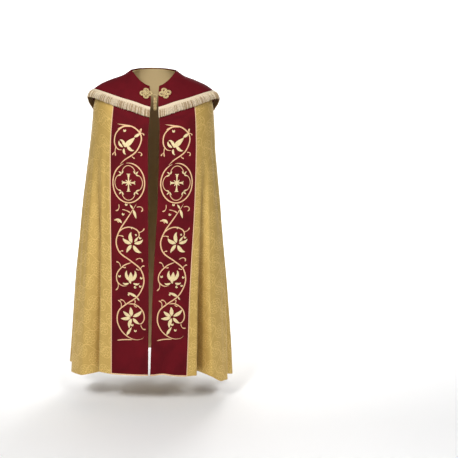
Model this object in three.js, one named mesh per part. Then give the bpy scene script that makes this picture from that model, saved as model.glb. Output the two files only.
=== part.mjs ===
// Cope: a semicircular church vestment, worn open in front over the shoulders.
// Millimetres. +X is to the viewer's right, the open front faces -Y, +Z is up.
// The origin lies on the neck's centre line, level with the base of the neck at the sides.
import * as THREE from "three";

// ---- driving sizes ----
const CLOTH = 2; // wall of the brocade body
const VELVET = 2; // wall of a front band
const HOOD_WALL = 2.5;
const SEAM_GAP = 0.3; // clear distance between sewn pieces
const BAND_WIDE = 172; // front band, edge to edge
const PIPING_WIDE = 5;
const PIPING_WALL = 2.6;
const HOOD_RISE = 6.8; // the hood's inner face, above the body's outer face
const HEADING_WIDE = 18; // woven top of the fringe
const HEADING_WALL = 2;
const STRANDS_LONG = 33; // hanging part of the fringe
const STRANDS_WALL = 3.4;
const SQUARENESS = 2.2; // 2 is an ellipse in plan, more is boxier
const PATH_STEPS = 180;
const HEM_FALL = 1045; // from the last level ring to the hem

// One row for each ring of the worn cloth, from the neck to the hem. front, side, back: heights.
// fall: share of the way from the last level ring to the hem. wideLeft, wideRight: half widths.
// fore, mid, aft: depths in Y of the front, of the widest place and of the back. left, right: how far each
// front edge stands from the middle. band: share of the full band width, which the neckline cuts across.
const RING_COLUMNS = [
  "front", "side", "back", "fall", "wideLeft", "wideRight", "fore", "mid", "aft", "left", "right", "band",
];
const RINGS = [
  [-60, 12, 24, 0, 98, 98, -72, 0, 78, 20, 24, 0.5],
  [-85, -14, -14, 0, 136, 136, -95, 2, 100, 17, 21, 0.75],
  [-113, -34, -58, 0, 186, 186, -117, 4, 122, 14, 19, 1],
  [-148, -58, -100, 0, 232, 232, -135, 6, 140, 16, 20, 1],
  [-186, -93, -145, 0, 262, 262, -147, 8, 152, 20, 23, 1],
  [-232, -148, -200, 0, 278, 277, -156, 9, 160, 23, 25, 1],
  [-290, -240, -275, 0, 288, 285, -163, 10, 168, 26, 24, 1],
  [-360, -360, -360, 0, 303, 292, -168, 10, 176, 27, 23, 1],
  [-360, -360, -360, 0.11, 320, 307, -174, 12, 190, 27, 20, 1],
  [-360, -360, -360, 0.22, 338, 323, -180, 14, 205, 27, 16, 1],
  [-360, -360, -360, 0.33, 353, 336, -186, 17, 222, 26, 10, 1],
  [-360, -360, -360, 0.44, 367, 349, -192, 20, 240, 25, 3, 1],
  [-360, -360, -360, 0.55, 380, 361, -198, 24, 258, 24, -3, 1],
  [-360, -360, -360, 0.66, 390, 371, -203, 28, 276, 24, -8, 1],
  [-360, -360, -360, 0.77, 399, 380, -208, 32, 294, 25, -11, 1],
  [-360, -360, -360, 0.88, 409, 388, -212, 36, 312, 26, -14, 1],
  [-360, -360, -360, 1, 420, 396, -215, 40, 330, 27, -18, 1],
];
const LAST_RING = RINGS.length - 1;
const LEVEL_RINGS = 7; // rings above the part that falls to the hem
const RINGS_PER_MM = (LAST_RING - LEVEL_RINGS) / HEM_FALL;

// Height of the hem, by turn: 0 at the front, 1 at the middle of the back.
const HEM = [
  { turn: 0, left: -1390, right: -1390 },
  { turn: 0.14, left: -1388, right: -1403 },
  { turn: 0.2, left: -1384, right: -1411 },
  { turn: 0.31, left: -1420, right: -1462 },
  { turn: 0.42, left: -1426, right: -1474 },
  { turn: 0.54, left: -1415, right: -1486 },
  { turn: 0.75, left: -1430, right: -1465 },
  { turn: 1, left: -1440, right: -1440 },
];

// Plain strip of brocade between a band and the first valley.
const STRIP = {
  left: { top: 45, hem: 66 },
  right: { top: 24, hem: 48 },
};

// Valleys between the hanging folds. at, half: place and half width across the cloth, where 0 to 1 is the
// band, 1 to 2 the plain strip and 2 to 3 the rest, up to the middle of the back. deep: at the hem.
// from: height where the valley starts. lean: how far it is pushed sideways under its neighbour.
const VALLEYS = {
  left: [
    { at: 2.06, half: 0.06, deep: 96, from: -300, lean: -0.55 },
    { at: 2.3, half: 0.075, deep: 84, from: -420, lean: 0.25 },
    { at: 2.48, half: 0.065, deep: 92, from: -560, lean: -0.2 },
    { at: 2.67, half: 0.07, deep: 84, from: -620, lean: 0.2 },
    { at: 2.86, half: 0.065, deep: 74, from: -760, lean: -0.15 },
  ],
  right: [
    { at: 0.34, half: 0.3, deep: 13, from: -980, lean: 0 },
    { at: 2.052, half: 0.052, deep: 92, from: -300, lean: -0.15 },
    { at: 2.31, half: 0.075, deep: 88, from: -400, lean: 0.35 },
    { at: 2.49, half: 0.07, deep: 86, from: -540, lean: 0.15 },
    { at: 2.7, half: 0.075, deep: 80, from: -600, lean: -0.2 },
    { at: 2.88, half: 0.06, deep: 62, from: -720, lean: 0.1 },
  ],
};
const VALLEY_GROWTH = 1.35; // how the depth grows from the start to the hem

// Lower edge of the hood's velvet, where the fringe heading starts. around: 0 at the front edge, 1 at the
// middle of the back, by length. ring: place between the rings of the table above.
const HOOD_EDGE = [
  { around: 0, ring: 3 },
  { around: 0.12, ring: 2.72 },
  { around: 0.25, ring: 2.9 },
  { around: 0.38, ring: 3.25 },
  { around: 0.5, ring: 3.9 },
  { around: 0.62, ring: 5.1 },
  { around: 0.74, ring: 6.5 },
  { around: 0.86, ring: 7.55 },
  { around: 1, ring: 8.5 },
];
// The stiff hood stands out sideways past the shoulder, most at its lower edge.
const STAND = { most: 24, around: 0.42, spread: 0.13 };
const HOOD_COLUMNS = 22; // a side
const HOOD_ROWS = 9;

// Corner piece let into the left front, below a seam square to the front edge.
const CORNER = { high: 215, radius: 1500, shortest: 34 };

// Clasp and chain.
const CLASP = { lobe: 13.5, reach: 15.5, thick: 2.6, hole: 3.4, holeReach: 15.5, lift: 3 };
const CLASPS = {
  left: { x: -36, z: -93, turn: 0 },
  right: { x: 50, z: -91, turn: 0.22 },
};
const LINK = { wire: 1, halfWide: 2.9, halfLong: 4.7, gap: 0.45, perStrand: 9 };
const STRAND_APART = 7.5;
const CHAIN = { top: new THREE.Vector3(5, -124, -96), ringRadius: 8, slope: 0.42 };

// ---- small helpers ----
const mix = (a, b, k) => a + (b - a) * k;
const clamp = (x, low, high) => Math.min(high, Math.max(low, x));
const ease = (k) => k * k * (3 - 2 * k);

// A named column of the ring table at a place between rings, on a smooth curve.
function ringValue(name, ring) {
  const r = clamp(ring, 0, LAST_RING);
  const i = Math.min(Math.floor(r), LAST_RING - 1);
  const k = r - i;
  const column = RING_COLUMNS.indexOf(name);
  const p0 = RINGS[Math.max(i - 1, 0)][column];
  const p1 = RINGS[i][column];
  const p2 = RINGS[i + 1][column];
  const p3 = RINGS[Math.min(i + 2, LAST_RING)][column];
  const bend = 2 * p0 - 5 * p1 + 4 * p2 - p3;
  return p1 + 0.5 * k * (p2 - p0 + k * (bend + k * (3 * (p1 - p2) + p3 - p0)));
}

// The rows of a table on either side of a place, and how far between them it is.
function between(table, key, x) {
  const found = table.findIndex((row) => row[key] > x);
  const last = found < 0 ? table.length - 1 : Math.max(found, 1);
  const [low, high] = [table[last - 1], table[last]];
  return { last, low, high, k: clamp((x - low[key]) / (high[key] - low[key]), 0, 1) };
}

// A table read between its rows, eased from row to row.
function readTable(table, key, name, x) {
  const { low, high, k } = between(table, key, x);
  return mix(low[name], high[name], ease(k));
}

// A table read between its rows, on a curve whose slope carries through each row.
function readCurve(table, key, name, x) {
  const { last, low, high, k } = between(table, key, x);
  const slopeAt = (i) => {
    const before = table[Math.max(i - 1, 0)];
    const after = table[Math.min(i + 1, table.length - 1)];
    return (after[name] - before[name]) / (after[key] - before[key]);
  };
  const span = high[key] - low[key];
  const bend = k * (1 - k) * span * ((1 - k) * slopeAt(last - 1) - k * slopeAt(last));
  return mix(low[name], high[name], ease(k)) + bend;
}

// ---- the worn surface ----
const sign = { left: -1, right: 1 };
const pathCache = new Map();

// Half a ring, from a front edge round to the middle of the back, with the length run so far.
function halfRing(side, ring) {
  const key = `${side} ${ring.toFixed(4)}`;
  if (pathCache.has(key)) return pathCache.get(key);
  const at = {};
  for (const name of RING_COLUMNS) at[name] = ringValue(name, ring);
  const wide = side === "left" ? at.wideLeft : at.wideRight;
  const power = 2 / SQUARENESS;
  const edge = at[side];
  const start = Math.sign(edge) * Math.asin((Math.abs(edge) / wide) ** (1 / power));
  const path = [];
  let run = 0;
  for (let i = 0; i <= PATH_STEPS; i += 1) {
    const angle = mix(start, Math.PI, i / PATH_STEPS);
    const across = Math.sign(Math.sin(angle)) * Math.abs(Math.sin(angle)) ** power;
    const along = Math.abs(Math.cos(angle)) ** power;
    const reach = Math.cos(angle) > 0 ? at.fore - at.mid : at.aft - at.mid;
    const end = Math.cos(angle) > 0 ? at.front : at.back;
    const level = mix(at.side, end, Math.cos(angle) ** 2);
    const hem = readTable(HEM, "turn", side, angle / Math.PI);
    const x = sign[side] * wide * across;
    const point = new THREE.Vector3(x, at.mid + reach * along, mix(level, hem, at.fall));
    if (i > 0) run += point.distanceTo(path[i - 1].point);
    path.push({ point, run });
  }
  pathCache.set(key, path);
  return path;
}

// Length across the cloth at column c (0 to 1 band, 1 to 2 strip, 2 to 3 the rest).
function lengthAt(side, ring, c) {
  const share = ringValue("band", ring);
  const band = BAND_WIDE * share;
  const strip = mix(STRIP[side].top, STRIP[side].hem, ringValue("fall", ring)) * share;
  if (c <= 1) return band * c;
  if (c <= 2) return band + strip * (c - 1);
  const path = halfRing(side, ring);
  return mix(band + strip, path[PATH_STEPS].run, c - 2);
}

// Point of the folded cloth at column c, with an extra length across it.
function clothPoint(side, ring, c, extra = 0) {
  const path = halfRing(side, ring);
  const length = clamp(lengthAt(side, ring, c) + extra, 0, path[PATH_STEPS].run);
  let i = 1;
  while (i < PATH_STEPS && path[i].run < length) i += 1;
  const a = path[i - 1];
  const b = path[i];
  const point = a.point.clone().lerp(b.point, (length - a.run) / (b.run - a.run));
  const along = path[Math.min(i + 1, PATH_STEPS)].point.clone().sub(path[i - 2 < 0 ? 0 : i - 2].point);
  along.z = 0;
  along.normalize();
  const inward = new THREE.Vector3(-along.y, along.x, 0).multiplyScalar(sign[side]);
  for (const valley of VALLEYS[side]) {
    const off = Math.abs(c - valley.at) / valley.half;
    if (off >= 1) continue;
    const level = clamp((point.z - valley.from) / (-1400 - valley.from), 0, 1.1);
    const dip = valley.deep * level ** VALLEY_GROWTH * (0.5 + 0.5 * Math.cos(Math.PI * off));
    point.addScaledVector(inward, dip);
    point.addScaledVector(along, valley.lean * dip);
  }
  return point;
}

// ---- closed walls from grids of points ----
const tangent = (ahead, behind) => ahead.clone().sub(behind);
const towards = (from, to, length) => from.clone().lerp(to, length / from.distanceTo(to));

// Which way each point of a grid faces. Rows run down, columns run from the left front round the back.
function facingOf(grid) {
  const rows = grid.length;
  const columns = grid[0].length;
  return grid.map((row, i) =>
    row.map((_, j) => {
      const across = tangent(row[Math.min(j + 1, columns - 1)], row[Math.max(j - 1, 0)]);
      const down = tangent(grid[Math.min(i + 1, rows - 1)][j], grid[Math.max(i - 1, 0)][j]);
      return across.cross(down).normalize();
    }),
  );
}

// A closed wall on a grid of points. outer and inner are distances the way each point faces;
// keep(i, j) says which cells are cloth.
function wall(grid, facing, outer, inner, keep = () => true) {
  const rows = grid.length;
  const columns = grid[0].length;
  const positions = [];
  const index = [];
  grid.forEach((row, i) =>
    row.forEach((point, j) => {
      for (const lift of [outer, inner]) {
        const p = point.clone().addScaledVector(facing[i][j], lift);
        positions.push(p.x, p.y, p.z);
      }
    }),
  );
  const outside = (i, j) => 2 * (i * columns + j);
  const inside = (i, j) => outside(i, j) + 1;
  const quad = (a, b, c, d) => index.push(a, c, b, a, d, c);
  // Opposite rims are split along the same diagonal, so that pieces side by side on one grid meet flush.
  const firstRim = (from, to) => quad(outside(...from), inside(...from), inside(...to), outside(...to));
  const lastRim = (from, to) => quad(inside(...from), inside(...to), outside(...to), outside(...from));
  const kept = (i, j) => i >= 0 && j >= 0 && i < rows - 1 && j < columns - 1 && keep(i, j);
  for (let i = 0; i < rows - 1; i += 1) {
    for (let j = 0; j < columns - 1; j += 1) {
      if (!kept(i, j)) continue;
      quad(outside(i, j), outside(i + 1, j), outside(i + 1, j + 1), outside(i, j + 1));
      index.push(inside(i, j), inside(i + 1, j), inside(i + 1, j + 1));
      index.push(inside(i, j), inside(i + 1, j + 1), inside(i, j + 1));
      if (!kept(i - 1, j)) firstRim([i, j + 1], [i, j]);
      if (!kept(i + 1, j)) lastRim([i + 1, j], [i + 1, j + 1]);
      if (!kept(i, j - 1)) firstRim([i, j], [i + 1, j]);
      if (!kept(i, j + 1)) lastRim([i + 1, j + 1], [i, j + 1]);
    }
  }
  return indexed(positions, index);
}

// Geometry with only the points that its faces use.
function indexed(positions, index) {
  const used = new Map();
  const packed = [];
  const order = index.map((old) => {
    if (!used.has(old)) {
      used.set(old, used.size);
      packed.push(...positions.slice(3 * old, 3 * old + 3));
    }
    return used.get(old);
  });
  const geometry = new THREE.BufferGeometry();
  geometry.setAttribute("position", new THREE.Float32BufferAttribute(packed, 3));
  geometry.setIndex(order);
  geometry.computeVertexNormals();
  return geometry;
}

// ---- materials ----
function material(color, roughness, metalness) {
  return new THREE.MeshStandardMaterial({ color, roughness, metalness });
}
const brocade = material("#c9a961", 0.55, 0.15);
const velvet = material("#6d1320", 0.9, 0);
const goldCord = material("#e6ba8c", 0.6, 0.1);
const braid = material("#dccfb4", 0.7, 0.05);
const bullion = material("#b9a283", 0.6, 0.1);
const brass = material("#c8a55a", 0.35, 0.9);

const cope = new THREE.Group();
function add(name, geometry, finish) {
  const mesh = new THREE.Mesh(geometry, finish);
  mesh.name = name;
  cope.add(mesh);
  return mesh;
}

// ---- brocade body and its corner piece ----
const EDGE_COLUMN = 4; // column on the band's outer edge; the next one is the piping's outer edge
const CREST_NEEDED = 0.07; // a wider gap between valleys has a column of its own on the crest

// Columns of one side: the band, its piping, the strip, then each valley's edges, flanks and bottom.
function bodyColumns(side) {
  const folded = [1.5, 2];
  for (const { at, half } of VALLEYS[side]) {
    if (at < 2) continue;
    const steps = at < 2.1 ? [-0.7, -0.4, 0, 0.35, 0.7, 1] : [-1, -0.45, 0, 0.45, 1];
    for (const step of steps) folded.push(at + step * half);
  }
  const crests = [];
  folded.slice(1).forEach((c, k) => {
    if (c > 2 && c - folded[k] > CREST_NEEDED) crests.push((c + folded[k]) / 2);
  });
  folded.push(...crests, 3);
  folded.sort((a, b) => a - b);
  const plain = [0, 0.25, 0.5, 0.75, 1].map((c) => ({ side, c, extra: 0 }));
  return [...plain, { side, c: 1, extra: PIPING_WIDE }, ...folded.map((c) => ({ side, c, extra: 0 }))];
}

// Height of the corner piece above the hem, by length from the front edge. Its seam is straight in the flat.
function cornerHigh(length) {
  return CORNER.radius - (CORNER.radius - CORNER.high) / Math.cos(length / CORNER.radius);
}
const SEAM_ROW = LAST_RING - 2;

// Ring place of a body point: the two rows above the hem follow the corner piece's seam on the left.
function bodyRing(side, row, c) {
  if (side === "right" || row < SEAM_ROW) return row;
  const high = Math.max(cornerHigh(lengthAt(side, LAST_RING, c)), CORNER.shortest);
  const seam = LAST_RING - high * RINGS_PER_MM;
  return mix(seam, LAST_RING, (row - SEAM_ROW) / 2);
}

const leftAround = bodyColumns("left");
const rightAround = bodyColumns("right").slice(0, -1).reverse();
const around = [...leftAround, ...rightAround];
const bodyGrid = RINGS.map((_, row) =>
  around.map(({ side, c, extra }) => clothPoint(side, bodyRing(side, row, c), c, extra)),
);
const bodyFacing = facingOf(bodyGrid);
const hemCornerHigh = ({ c }) => cornerHigh(lengthAt("left", LAST_RING, c));
const cornerEnd = leftAround.findIndex((column) => hemCornerHigh(column) < CORNER.shortest);
const inCorner = (i, j) => i >= SEAM_ROW && j < cornerEnd;
add("cape_body", wall(bodyGrid, bodyFacing, 0, -CLOTH, (i, j) => !inCorner(i, j)), brocade);

const cornerGrid = bodyGrid.map((row, i) =>
  row.map((point, j) => {
    const lower = i === SEAM_ROW ? towards(point, bodyGrid[i + 1][j], SEAM_GAP) : point;
    return j === cornerEnd ? towards(lower, row[j - 1], SEAM_GAP) : lower;
  }),
);
add("corner_piece_left", wall(cornerGrid, bodyFacing, 0, -CLOTH, inCorner), brocade);

// ---- front bands and their piping ----
// Both lie on the body's own points. The piping turns the lower corner and runs on under the band.
const lastColumn = around.length - 1;
for (const side of ["left", "right"]) {
  const column = (k) => (side === "left" ? k : lastColumn - k);
  const cell = (k) => (side === "left" ? k : lastColumn - 1 - k);
  const onBand = (j) => (side === "left" ? j < EDGE_COLUMN : j > cell(EDGE_COLUMN));
  const overHem = (i, length) => bodyGrid[i].map((p, j) => towards(p, bodyGrid[i - 1][j], length));

  const band = bodyGrid.map((row, i) => (i === LAST_RING ? overHem(i, PIPING_WIDE + SEAM_GAP) : [...row]));
  for (const row of band) {
    row[column(EDGE_COLUMN)] = towards(row[column(EDGE_COLUMN)], row[column(EDGE_COLUMN - 1)], SEAM_GAP);
  }
  const bandWall = wall(band, bodyFacing, SEAM_GAP + VELVET, SEAM_GAP, (i, j) => onBand(j));
  add(`front_band_${side}`, bandWall, velvet);

  const piping = [...bodyGrid.slice(0, LAST_RING), overHem(LAST_RING, PIPING_WIDE), bodyGrid[LAST_RING]];
  const pipingFacing = [...bodyFacing.slice(0, LAST_RING), bodyFacing[LAST_RING], bodyFacing[LAST_RING]];
  const keep = (i, j) => j === cell(EDGE_COLUMN) || (i === LAST_RING && onBand(j));
  add(`piping_${side}`, wall(piping, pipingFacing, SEAM_GAP + PIPING_WALL, SEAM_GAP, keep), goldCord);
}

// ---- hood with its fringe ----
// Point of the unfolded surface at a share of the way round.
function smoothPoint(side, ring, share) {
  const path = halfRing(side, ring);
  const length = share * path[PATH_STEPS].run;
  let i = 1;
  while (i < PATH_STEPS && path[i].run < length) i += 1;
  const k = (length - path[i - 1].run) / (path[i].run - path[i - 1].run);
  return path[i - 1].point.clone().lerp(path[i].point, k);
}

// Lower edge of the hood's velvet at a share of the way round.
const hoodEdge = (share) => readCurve(HOOD_EDGE, "around", "ring", share);

// Point under the hood, with its stand at the shoulder.
function hoodPoint(side, ring, share) {
  const point = smoothPoint(side, ring, share);
  const near = Math.exp(-(((share - STAND.around) / STAND.spread) ** 2));
  point.x += sign[side] * STAND.most * near * (ring / hoodEdge(share)) ** 2;
  return point;
}

const hoodAround = [];
for (let j = 0; j <= HOOD_COLUMNS; j += 1) hoodAround.push({ side: "left", share: j / HOOD_COLUMNS });
for (let j = HOOD_COLUMNS - 1; j >= 0; j -= 1) hoodAround.push({ side: "right", share: j / HOOD_COLUMNS });

// Ring place that lies a given length below the hood's edge, down one column.
function belowEdge(side, share, length) {
  const step = 0.05;
  let ring = hoodEdge(share);
  let left = length;
  while (left > 0) {
    const piece = hoodPoint(side, ring, share).distanceTo(hoodPoint(side, ring + step, share));
    ring += step * Math.min(1, left / piece);
    left -= piece;
  }
  return ring;
}
// Near the point of the back the edge slopes, so a width square to it is longer straight down.
const edgeSlope = (share) => 1 + 0.25 * ease(clamp((share - 0.6) / 0.2, 0, 1));

const hoodGrid = [];
for (let i = 0; i <= HOOD_ROWS; i += 1) {
  hoodGrid.push(
    hoodAround.map(({ side, share }) => {
      const low = belowEdge(side, share, (HEADING_WIDE - 3) * edgeSlope(share));
      return hoodPoint(side, (low * i) / HOOD_ROWS, share);
    }),
  );
}
const HOOD_OUT = HOOD_RISE + HOOD_WALL;
add("hood", wall(hoodGrid, facingOf(hoodGrid), HOOD_OUT, HOOD_RISE), velvet);

const HEADING_IN = HOOD_OUT + 1.7;
const headingGrid = [0, 0.5, 1].map((k) =>
  hoodAround.map(({ side, share }) => {
    const ring = belowEdge(side, share, k * HEADING_WIDE * edgeSlope(share) + 0.01);
    return hoodPoint(side, ring, share);
  }),
);
const headingFacing = facingOf(headingGrid);
const [, braidMiddle, braidLow] = headingGrid;
// The strands start the way the hood slopes and then droop.
const strandsGrid = [0, 0.35, 0.7, 1].map((k) =>
  braidLow.map((point, j) => {
    const slope = tangent(point, braidMiddle[j]).normalize();
    const long = k * STRANDS_LONG * edgeSlope(hoodAround[j].share);
    const droop = slope.clone().multiplyScalar(long * (1 - 0.5 * k) + SEAM_GAP);
    droop.z -= long * 0.5 * k;
    return point.clone().add(droop);
  }),
);
const strandsFacing = facingOf(strandsGrid);
strandsFacing[0] = headingFacing[headingFacing.length - 1];
const STRANDS_IN = HEADING_IN - 1;

// One side of a ring-round grid, moved off the other side at the middle of the back.
function oneSide(grid, side) {
  const [first, end] = side === "left" ? [0, HOOD_COLUMNS + 1] : [HOOD_COLUMNS, hoodAround.length];
  return grid.map((row) =>
    row.slice(first, end).map((point, j) => {
      const moved = point.clone();
      if (first + j === HOOD_COLUMNS) moved.x += (sign[side] * SEAM_GAP) / 2;
      return moved;
    }),
  );
}
const sliceFacing = (facing, side) =>
  facing.map((row) => (side === "left" ? row.slice(0, HOOD_COLUMNS + 1) : row.slice(HOOD_COLUMNS)));
for (const side of ["left", "right"]) {
  const heading = oneSide(headingGrid, side);
  const facing = sliceFacing(headingFacing, side);
  const headingWall = wall(heading, facing, HEADING_IN + HEADING_WALL, HEADING_IN);
  add(`fringe_heading_${side}`, headingWall, braid);
  const strands = oneSide(strandsGrid, side);
  const hanging = sliceFacing(strandsFacing, side);
  const strandsWall = wall(strands, hanging, STRANDS_IN + STRANDS_WALL, STRANDS_IN);
  add(`fringe_strands_${side}`, strandsWall, bullion);
}

// ---- clasp plates ----
function claspShape() {
  const shape = new THREE.Shape();
  const { lobe, reach, hole, holeReach } = CLASP;
  const meet = (reach + Math.sqrt(2 * lobe ** 2 - reach ** 2)) / 2; // where two lobes meet, on the diagonal
  const waist = Math.atan2(meet, meet - reach);
  for (let k = 0; k < 4; k += 1) {
    const out = (k * Math.PI) / 2;
    const x = Math.cos(out) * reach;
    const y = Math.sin(out) * reach;
    shape.absarc(x, y, lobe, out - waist, out + waist, false);
    const opening = new THREE.Path();
    opening.absarc(Math.cos(out) * holeReach, Math.sin(out) * holeReach, hole * 1.6, 0, 2 * Math.PI, true);
    shape.holes.push(opening);
    const small = new THREE.Path();
    const turn = out + Math.PI / 4;
    small.absarc(Math.cos(turn) * 9, Math.sin(turn) * 9, hole * 0.6, 0, 2 * Math.PI, true);
    shape.holes.push(small);
  }
  return shape;
}

// The hood's outer face at a place across and down its front: the point and the way it faces.
const SEARCH = { lastShare: 0.3, shareStep: 0.004, lastRing: 3, ringStep: 0.02 };
function frontOfHood(x, z) {
  const side = x < 0 ? "left" : "right";
  let best = null;
  for (let share = 0; share < SEARCH.lastShare; share += SEARCH.shareStep) {
    for (let ring = 0; ring < SEARCH.lastRing; ring += SEARCH.ringStep) {
      const point = hoodPoint(side, ring, share);
      const miss = (point.x - x) ** 2 + (point.z - z) ** 2;
      if (!best || miss < best.miss) best = { miss, point, share, ring };
    }
  }
  const nearBy = (dRing, dShare) => hoodPoint(side, best.ring + dRing, best.share + dShare);
  const across = tangent(nearBy(0, SEARCH.shareStep), nearBy(0, -SEARCH.shareStep));
  const down = tangent(nearBy(SEARCH.ringStep, 0), nearBy(-SEARCH.ringStep, 0));
  const facing = down.cross(across).multiplyScalar(sign[side]).normalize();
  return { point: best.point.addScaledVector(facing, HOOD_OUT), facing };
}

const toFront = new THREE.Vector3(0, 0, 1);
for (const side of ["left", "right"]) {
  const place = CLASPS[side];
  const { point, facing } = frontOfHood(place.x, place.z);
  const geometry = new THREE.ExtrudeGeometry(claspShape(), {
    depth: CLASP.thick,
    bevelEnabled: false,
    curveSegments: 8,
  });
  const plate = add(`clasp_${side}`, geometry, brass);
  plate.position.copy(point).addScaledVector(facing, CLASP.lift);
  plate.quaternion.setFromUnitVectors(toFront, facing);
  plate.rotateZ(place.turn);
}

// ---- hook, eye and chain between the clasps ----
// A closed loop of round wire along a ring of points, each with its own way out from the middle.
function wireLoop(points, side, wire, facets = 5) {
  const positions = [];
  const index = [];
  const count = points.length;
  points.forEach((p, i) => {
    const along = tangent(points[(i + 1) % count], points[(i + count - 1) % count]).normalize();
    const out = new THREE.Vector3().crossVectors(along, side);
    for (let k = 0; k < facets; k += 1) {
      const turn = (2 * Math.PI * k) / facets;
      const q = p.clone().addScaledVector(out, wire * Math.cos(turn));
      q.addScaledVector(side, wire * Math.sin(turn));
      positions.push(q.x, q.y, q.z);
      const [a, b] = [i * facets + k, i * facets + ((k + 1) % facets)];
      const [c, d] = [((i + 1) % count) * facets + k, ((i + 1) % count) * facets + ((k + 1) % facets)];
      index.push(a, d, b, a, c, d);
    }
  });
  return indexed(positions, index);
}

// Points of an oval link: round ends joined by straight sides, standing in a plane.
function ovalPoints(halfWide, halfLong, widthWay, longWay, perEnd = 4) {
  const points = [];
  for (const end of [1, -1]) {
    for (let k = 0; k < perEnd; k += 1) {
      const turn = Math.PI * ((k + 0.5) / perEnd - 0.5);
      const w = halfWide * Math.sin(turn) * -end;
      const l = end * (halfLong - halfWide + halfWide * Math.cos(turn));
      points.push(widthWay.clone().multiplyScalar(w).addScaledVector(longWay, l));
    }
  }
  return points;
}

const acrossWay = new THREE.Vector3(1, 0, 0);
const upWay = new THREE.Vector3(0, CHAIN.slope, 1).normalize(); // the chain follows the slope of the chest
const deepWay = new THREE.Vector3().crossVectors(upWay, acrossWay);
function addLink(name, centre, halfWide, halfLong, widthWay, longWay, wire) {
  const side = new THREE.Vector3().crossVectors(widthWay, longWay).normalize();
  const link = add(name, wireLoop(ovalPoints(halfWide, halfLong, widthWay, longWay), side, wire), brass);
  link.position.copy(centre);
}

addLink("clasp_ring", CHAIN.top, CHAIN.ringRadius, CHAIN.ringRadius, acrossWay, upWay, LINK.wire);
const pitch = 2 * (LINK.halfLong - LINK.wire) - LINK.gap;
const hangs = Math.sqrt(CHAIN.ringRadius ** 2 - (STRAND_APART / 2 + LINK.wire) ** 2);
for (const side of ["left", "right"]) {
  for (let k = 0; k < LINK.perStrand; k += 1) {
    const drop = hangs + LINK.halfLong - 2 * LINK.wire - LINK.gap + k * pitch;
    const centre = CHAIN.top.clone().addScaledVector(upWay, -drop);
    centre.x += (sign[side] * STRAND_APART) / 2;
    const flat = k % 2 ? acrossWay : deepWay;
    addLink(`chain_${side}_${k + 1}`, centre, LINK.halfWide, LINK.halfLong, flat, upWay, LINK.wire);
  }
}

export default cope;
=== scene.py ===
import math
import random

import bmesh
import bpy
import numpy as np
from mathutils import Matrix, Vector


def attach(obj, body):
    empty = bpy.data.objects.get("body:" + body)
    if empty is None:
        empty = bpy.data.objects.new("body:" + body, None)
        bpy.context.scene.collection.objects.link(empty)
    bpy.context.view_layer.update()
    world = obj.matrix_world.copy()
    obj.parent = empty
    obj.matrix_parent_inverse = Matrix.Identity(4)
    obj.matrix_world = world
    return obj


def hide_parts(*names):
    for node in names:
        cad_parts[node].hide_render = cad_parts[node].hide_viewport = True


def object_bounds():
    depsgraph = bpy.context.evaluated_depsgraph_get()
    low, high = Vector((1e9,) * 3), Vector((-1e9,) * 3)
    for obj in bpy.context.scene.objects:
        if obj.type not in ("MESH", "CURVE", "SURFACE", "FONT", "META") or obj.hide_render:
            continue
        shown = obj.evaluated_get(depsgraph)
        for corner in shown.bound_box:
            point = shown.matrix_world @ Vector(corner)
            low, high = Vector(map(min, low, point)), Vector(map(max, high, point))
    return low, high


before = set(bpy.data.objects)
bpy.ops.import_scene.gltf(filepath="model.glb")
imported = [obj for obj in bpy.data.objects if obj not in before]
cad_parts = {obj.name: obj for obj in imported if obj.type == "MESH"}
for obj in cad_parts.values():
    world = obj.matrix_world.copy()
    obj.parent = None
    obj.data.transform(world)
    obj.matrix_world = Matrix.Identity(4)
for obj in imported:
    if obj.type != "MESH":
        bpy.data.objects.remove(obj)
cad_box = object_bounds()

# ---------------------------------------------------------------- camera, light and floor
# A standing figure's full height seen from four metres, from the height of the neck.
EYE = Vector((0.0, -4.0, 0.06))
LOOK_DOWN = math.radians(11.14)
LOOK_RIGHT = math.radians(5.16)
LEVEL = math.radians(1.0)

camera_data = bpy.data.cameras.new("camera")
camera_data.lens = 66.6
camera_data.sensor_width = 36
camera = bpy.data.objects.new("camera", camera_data)
bpy.context.scene.collection.objects.link(camera)
turn = Matrix.Rotation(-LOOK_RIGHT, 4, "Z") @ Matrix.Rotation(math.pi / 2 - LOOK_DOWN, 4, "X")
camera.matrix_world = Matrix.Translation(EYE) @ turn @ Matrix.Rotation(LEVEL, 4, "Z")
bpy.context.scene.camera = camera
bpy.context.scene.view_settings.view_transform = "Standard"

world = bpy.data.worlds.new("studio")
world.use_nodes = True
world.node_tree.nodes["Background"].inputs["Color"].default_value = (1, 1, 1, 1)
world.node_tree.nodes["Background"].inputs["Strength"].default_value = 0.16
bpy.context.scene.world = world


def add_light(name, place, aim, size, watts):
    data = bpy.data.lights.new(name, "AREA")
    data.size = size
    data.energy = watts
    lamp = bpy.data.objects.new(name, data)
    bpy.context.scene.collection.objects.link(lamp)
    lamp.location = place
    lamp.rotation_euler = (Vector(aim) - Vector(place)).to_track_quat("-Z", "Y").to_euler()


MIDDLE = (0, 0, -0.7)
add_light("left", (-1.5, -3.3, 1.6), MIDDLE, 0.7, 112)
add_light("right", (1.1, -3.6, 1.5), MIDDLE, 0.8, 74)
add_light("back", (1.6, 3.2, 1.6), MIDDLE, 1.6, 60)
add_light("backdrop", (0, 1.8, 2.8), (0, 5.8, 0.8), 4.0, 330)



def piece_of(name, bm, *finishes):
    """Turn a finished bmesh into a piece with its materials."""
    mesh = bpy.data.meshes.new(name)
    bm.to_mesh(mesh)
    bm.free()
    piece = bpy.data.objects.new(name, mesh)
    bpy.context.scene.collection.objects.link(piece)
    for finish in finishes:
        mesh.materials.append(finish)
    return piece


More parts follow.
